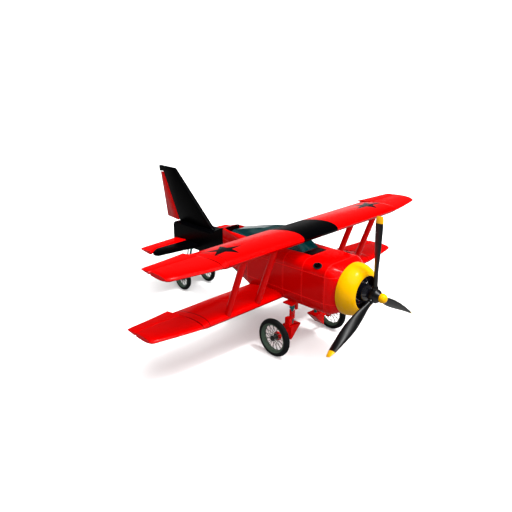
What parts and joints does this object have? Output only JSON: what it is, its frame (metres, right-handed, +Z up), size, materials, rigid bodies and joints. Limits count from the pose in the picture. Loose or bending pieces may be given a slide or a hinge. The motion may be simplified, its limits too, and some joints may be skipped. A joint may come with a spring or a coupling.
{
  "type": "single-seat cabin biplane",
  "caption": "Small cabin biplane with a cowled radial engine, propeller, wire wheels on sprung legs and hinged ailerons, elevators and rudder.",
  "frame": {"origin": "on the floor below the middle of the parked aircraft's box", "axes": "+Z up, -Y towards the propeller, +X towards the port wing tip; parked 4 degrees nose up on its four wheels"},
  "size_m": [6.1, 5.765, 2.7214],
  "materials": {
    "red_paint": "gloss",
    "black_paint": "gloss",
    "yellow_paint": "gloss",
    "engine_metal": "satin",
    "dark_metal": "satin",
    "wheel_steel": "satin",
    "tyre": "matte",
    "tinted_glass": "tinted",
    "seat_leather": "satin"
  },
  "bodies": {
    "airframe_body": {"nose_bay": "red_paint", "cowl_adapter": "red_paint", "cabin_shell": "red_paint", "aft_bay": "red_paint", "tail_boom": "black_paint", "upper_wing_centre": "black_paint", "fin": "black_paint", "aft_bulkhead": "black_paint", "instrument_panel": "black_paint", "engine": "engine_metal", "cowl_ring": "yellow_paint", "canopy_glass": "tinted_glass", "windscreen": "tinted_glass", "seat": "seat_leather", "control_stick": "dark_metal", "upper_wing_inner_port": "red_paint", "upper_wing_outer_port": "red_paint", "lower_wing_inner_port": "red_paint", "lower_wing_outer_port": "red_paint", "strut_inner_port": "red_paint", "strut_outer_port": "red_paint", "gear_pad_port": "red_paint", "gear_spring_port": "red_paint", "gear_yoke_port": "red_paint", "stabiliser_port": "black_paint", "side_vent_port": "black_paint", "gear_leg_port": "dark_metal", "tail_leg_port": "dark_metal", "upper_wing_inner_starboard": "red_paint", "upper_wing_outer_starboard": "red_paint", "lower_wing_inner_starboard": "red_paint", "lower_wing_outer_starboard": "red_paint", "strut_inner_starboard": "red_paint", "strut_outer_starboard": "red_paint", "gear_pad_starboard": "red_paint", "gear_spring_starboard": "red_paint", "gear_yoke_starboard": "red_paint", "stabiliser_starboard": "black_paint", "side_vent_starboard": "black_paint", "gear_leg_starboard": "dark_metal", "tail_leg_starboard": "dark_metal"},
    "propeller": {"propeller_hub": "black_paint", "spinner": "yellow_paint"},
    "rudder_body": {"rudder": "red_paint"},
    "elevator_body_port": {"elevator_port": "red_paint"},
    "upper_aileron_body_port": {"upper_aileron_port": "red_paint"},
    "lower_aileron_body_port": {"lower_aileron_port": "red_paint"},
    "main_wheel_body_port": {"main_tyre_port": "tyre", "main_wheel_port": "wheel_steel"},
    "tail_wheel_body_port": {"tail_tyre_port": "tyre", "tail_wheel_port": "wheel_steel"},
    "elevator_body_starboard": {"elevator_starboard": "red_paint"},
    "upper_aileron_body_starboard": {"upper_aileron_starboard": "red_paint"},
    "lower_aileron_body_starboard": {"lower_aileron_starboard": "red_paint"},
    "main_wheel_body_starboard": {"main_tyre_starboard": "tyre", "main_wheel_starboard": "wheel_steel"},
    "tail_wheel_body_starboard": {"tail_tyre_starboard": "tyre", "tail_wheel_starboard": "wheel_steel"}
  },
  "joints": [
    {"name": "propeller_spin", "type": "hinge", "parent": "airframe_body", "child": "propeller", "pos_m": [0, -2.65945, 1.42158], "axis": [0, -0.9975, 0.0709], "continuous": true},
    {"name": "rudder_swing", "type": "hinge", "parent": "airframe_body", "child": "rudder_body", "pos_m": [0, 2.23208, 1.29229], "axis": [0, 0.5102, 0.86], "range_deg": [-25, 25]},
    {"name": "elevator_swing_port", "type": "hinge", "parent": "airframe_body", "child": "elevator_body_port", "pos_m": [0.196, 1.80191, 1.00028], "axis": [1, 0, 0], "range_deg": [-20, 25]},
    {"name": "elevator_swing_starboard", "type": "hinge", "parent": "airframe_body", "child": "elevator_body_starboard", "pos_m": [-0.196, 1.80191, 1.00028], "axis": [1, 0, 0], "range_deg": [-20, 25]},
    {"name": "upper_aileron_swing_port", "type": "hinge", "parent": "airframe_body", "child": "upper_aileron_body_port", "pos_m": [2.185, -0.89034, 2.04741], "axis": [1, 0.0004, 0.0054], "range_deg": [-20, 20]},
    {"name": "upper_aileron_swing_starboard", "type": "hinge", "parent": "airframe_body", "child": "upper_aileron_body_starboard", "pos_m": [-2.185, -0.89034, 2.04741], "axis": [1, -0.0004, -0.0054], "range_deg": [-20, 20]},
    {"name": "lower_aileron_swing_port", "type": "hinge", "parent": "airframe_body", "child": "lower_aileron_body_port", "pos_m": [2.185, -0.50362, 0.90112], "axis": [1, 0.0004, 0.0054], "range_deg": [-20, 20]},
    {"name": "lower_aileron_swing_starboard", "type": "hinge", "parent": "airframe_body", "child": "lower_aileron_body_starboard", "pos_m": [-2.185, -0.50362, 0.90112], "axis": [1, -0.0004, -0.0054], "range_deg": [-20, 20]},
    {"name": "main_wheel_spin_port", "type": "hinge", "parent": "airframe_body", "child": "main_wheel_body_port", "pos_m": [0.758, -1.2847, 0.33941], "axis": [1, 0, 0], "continuous": true},
    {"name": "tail_wheel_spin_port", "type": "hinge", "parent": "airframe_body", "child": "tail_wheel_body_port", "pos_m": [0.326, 1.70244, 0.23541], "axis": [1, 0, 0], "continuous": true},
    {"name": "main_wheel_spin_starboard", "type": "hinge", "parent": "airframe_body", "child": "main_wheel_body_starboard", "pos_m": [-0.758, -1.2847, 0.33941], "axis": [1, 0, 0], "continuous": true},
    {"name": "tail_wheel_spin_starboard", "type": "hinge", "parent": "airframe_body", "child": "tail_wheel_body_starboard", "pos_m": [-0.326, 1.70244, 0.23541], "axis": [1, 0, 0], "continuous": true}
  ],
  "couplings": [
    {"joint": "elevator_swing_starboard", "follows": "elevator_swing_port", "ratio": 1},
    {"joint": "lower_aileron_swing_port", "follows": "upper_aileron_swing_port", "ratio": 1},
    {"joint": "upper_aileron_swing_starboard", "follows": "upper_aileron_swing_port", "ratio": -1},
    {"joint": "lower_aileron_swing_starboard", "follows": "upper_aileron_swing_port", "ratio": -1}
  ]
}
